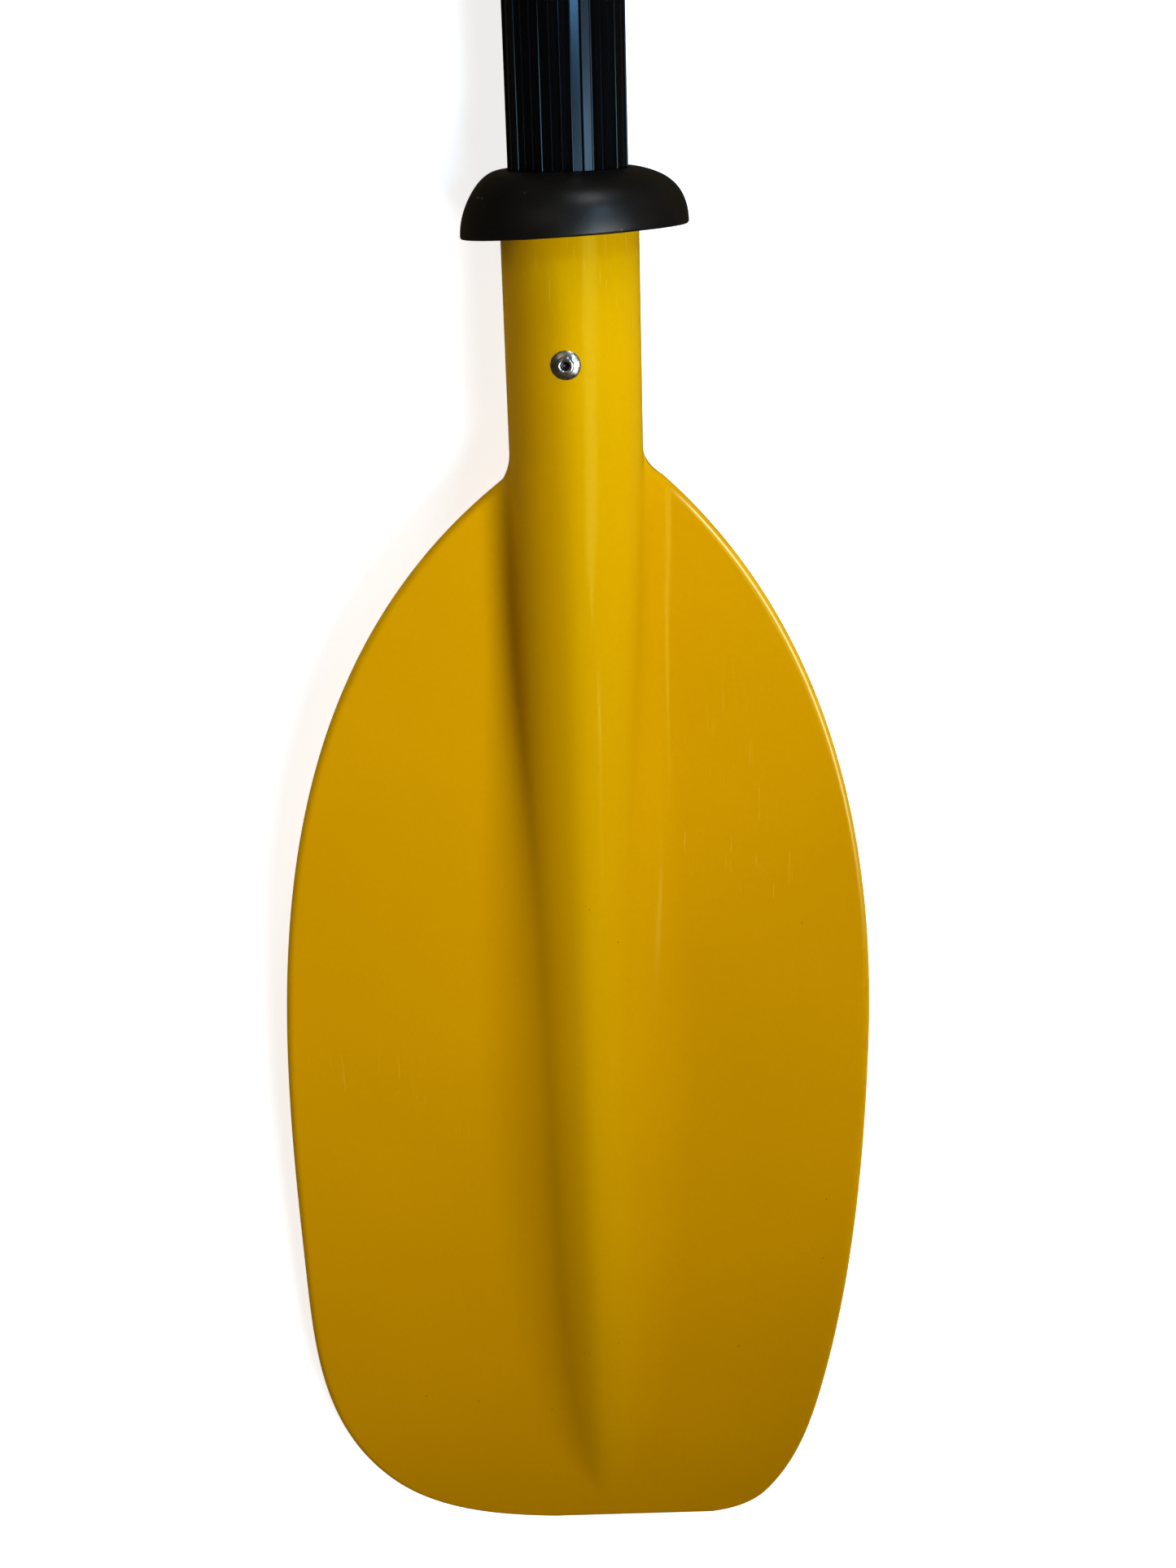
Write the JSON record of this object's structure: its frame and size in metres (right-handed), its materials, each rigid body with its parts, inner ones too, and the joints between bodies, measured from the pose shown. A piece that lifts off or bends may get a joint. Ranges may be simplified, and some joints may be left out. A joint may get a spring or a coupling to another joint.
{
  "type": "kayak paddle",
  "caption": "Take-apart double-bladed kayak paddle with spooned plastic blades, ribbed metal shaft, snap-button joint and sliding rubber drip rings.",
  "frame": {"origin": "on the shaft's axis, in the middle of the take-apart joint", "axes": "+X along the shaft from the left half to the right half, +Y towards the full edge of both blades, +Z out of the blades' spine side, as the paddle lies power face down"},
  "size_m": [2.18, 0.1739, 0.0574],
  "materials": {
    "blade_plastic": "semi-gloss moulded",
    "black_tube": "black anodised",
    "drip_rubber": "matte",
    "rivet_alloy": "bright",
    "mandrel_steel": "plain",
    "ferrule_alloy": "drawn",
    "spring_steel": "stainless",
    "float_foam": "closed-cell foam"
  },
  "bodies": {
    "left_half": {"blade_left": "blade_plastic", "shaft_left": "black_tube", "blade_rivet_left": "rivet_alloy", "rivet_mandrel_left": "mandrel_steel", "ferrule": "ferrule_alloy", "ferrule_rivets": "rivet_alloy", "ferrule_mandrels": "mandrel_steel", "float_plug_left": "float_foam"},
    "seal": {"seal_ring": "drip_rubber"},
    "right_half": {"blade_right": "blade_plastic", "shaft_right": "black_tube", "blade_rivet_right": "rivet_alloy", "rivet_mandrel_right": "mandrel_steel", "float_plug_right": "float_foam"},
    "button": {"snap_button": "spring_steel"},
    "ring_left": {"drip_ring_left": "drip_rubber"},
    "ring_right": {"drip_ring_right": "drip_rubber"}
  },
  "joints": [
    {"name": "feather_turn", "type": "hinge", "parent": "left_half", "child": "seal", "pos_m": [0, 0, 0], "axis": [1, 0, 0], "range_deg": [-60, 60], "deforming": ["snap_button"]},
    {"name": "take_apart", "type": "slide", "parent": "seal", "child": "right_half", "axis": [1, 0, 0], "range_m": [0, 0.12], "deforming": ["snap_button"]},
    {"name": "button_press", "type": "slide", "parent": "left_half", "child": "button", "axis": [0, 0, -1], "range_m": [0, 0.0048], "stiffness_N_per_m": 1500, "deforming": ["snap_button"]},
    {"name": "drip_ring_left_slide", "type": "slide", "parent": "left_half", "child": "ring_left", "axis": [1, 0, 0], "range_m": [0, 0.595]},
    {"name": "drip_ring_right_slide", "type": "slide", "parent": "right_half", "child": "ring_right", "axis": [-1, 0, 0], "range_m": [0, 0.595]}
  ]
}
